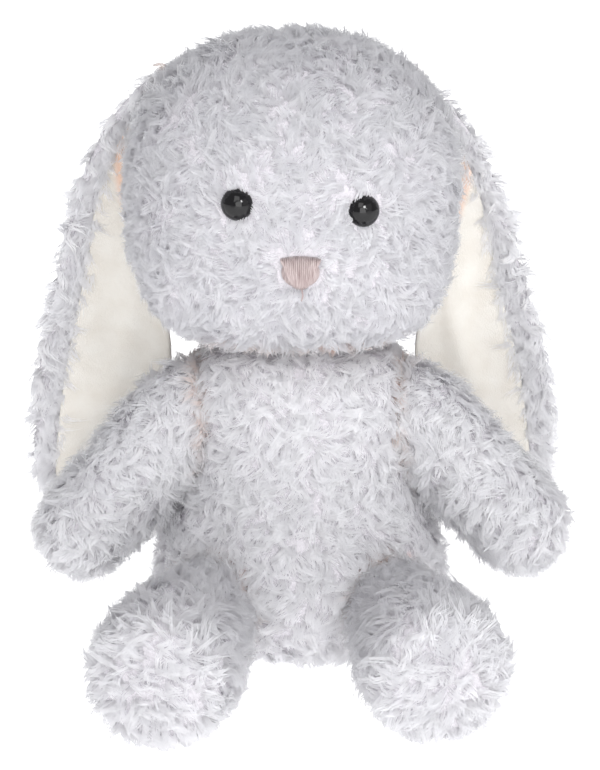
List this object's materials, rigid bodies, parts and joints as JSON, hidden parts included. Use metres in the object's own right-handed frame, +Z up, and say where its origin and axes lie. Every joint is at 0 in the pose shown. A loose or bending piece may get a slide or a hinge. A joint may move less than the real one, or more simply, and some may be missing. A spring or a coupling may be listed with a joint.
{
  "type": "stuffed bunny rabbit",
  "caption": "Sitting plush bunny with a round head, long velour-lined ears that hang beside it, soft arms and legs, and a shaggy curled pile.",
  "frame": {"origin": "centre of the flat seat that the toy rests on", "axes": "+Z up, the toy faces -Y, its own left side at +X"},
  "size_m": [0.2275, 0.2093, 0.257],
  "materials": {
    "fur": "shaggy curled polyester pile on a knitted backing",
    "velour": "short-pile cream velour, matt with a soft sheen",
    "filling": "loose white polyester fibre",
    "bag_cloth": "plain white non-woven cloth",
    "pellets": "smooth small round pellets",
    "eye": "polished black",
    "washer": "moulded natural plastic",
    "thread": "satin-stitched embroidery thread, pale dusty pink"
  },
  "bodies": {
    "torso": {"torso_cover": "fur", "torso_filling": "filling", "pellet_bag": "bag_cloth", "pellets": "pellets", "tail_cover": "fur", "tail_filling": "filling"},
    "head": {"head_cover": "fur", "head_filling": "filling", "right_eye": "eye", "right_eye_washer": "washer", "left_eye": "eye", "left_eye_washer": "washer", "nose_embroidery": "thread"},
    "right_ear": {"right_ear_fur": "fur", "right_ear_lining": "velour"},
    "left_ear": {"left_ear_fur": "fur", "left_ear_lining": "velour"},
    "right_arm": {"right_arm_cover": "fur", "right_arm_filling": "filling"},
    "left_arm": {"left_arm_cover": "fur", "left_arm_filling": "filling"},
    "right_leg": {"right_leg_cover": "fur", "right_leg_filling": "filling"},
    "left_leg": {"left_leg_cover": "fur", "left_leg_filling": "filling"}
  },
  "joints": [
    {"name": "head_nod", "type": "hinge", "parent": "torso", "child": "head", "pos_m": [0, 0, 0.1], "axis": [1, 0, 0], "range_deg": [-12, 10], "stiffness_Nm_per_rad": 1.2},
    {"name": "right_ear_lift", "type": "hinge", "parent": "head", "child": "right_ear", "pos_m": [-0.057, 0.014, 0.226], "axis": [0, 0.9877, 0.1564], "range_deg": [0, 60], "stiffness_Nm_per_rad": 0.04},
    {"name": "left_ear_lift", "type": "hinge", "parent": "head", "child": "left_ear", "pos_m": [0.051, 0.014, 0.226], "axis": [0, -0.9877, -0.1564], "range_deg": [0, 60], "stiffness_Nm_per_rad": 0.04},
    {"name": "right_arm_swing", "type": "hinge", "parent": "torso", "child": "right_arm", "pos_m": [-0.046, -0.009, 0.104], "axis": [-1, 0, 0], "range_deg": [-10, 75], "stiffness_Nm_per_rad": 0.15},
    {"name": "left_arm_swing", "type": "hinge", "parent": "torso", "child": "left_arm", "pos_m": [0.046, -0.009, 0.104], "axis": [-1, 0, 0], "range_deg": [-10, 75], "stiffness_Nm_per_rad": 0.15},
    {"name": "right_leg_lift", "type": "hinge", "parent": "torso", "child": "right_leg", "pos_m": [-0.038, -0.045, 0.029], "axis": [-1, 0, 0], "range_deg": [0, 35], "stiffness_Nm_per_rad": 0.2},
    {"name": "left_leg_lift", "type": "hinge", "parent": "torso", "child": "left_leg", "pos_m": [0.038, -0.045, 0.029], "axis": [-1, 0, 0], "range_deg": [0, 35], "stiffness_Nm_per_rad": 0.2}
  ]
}
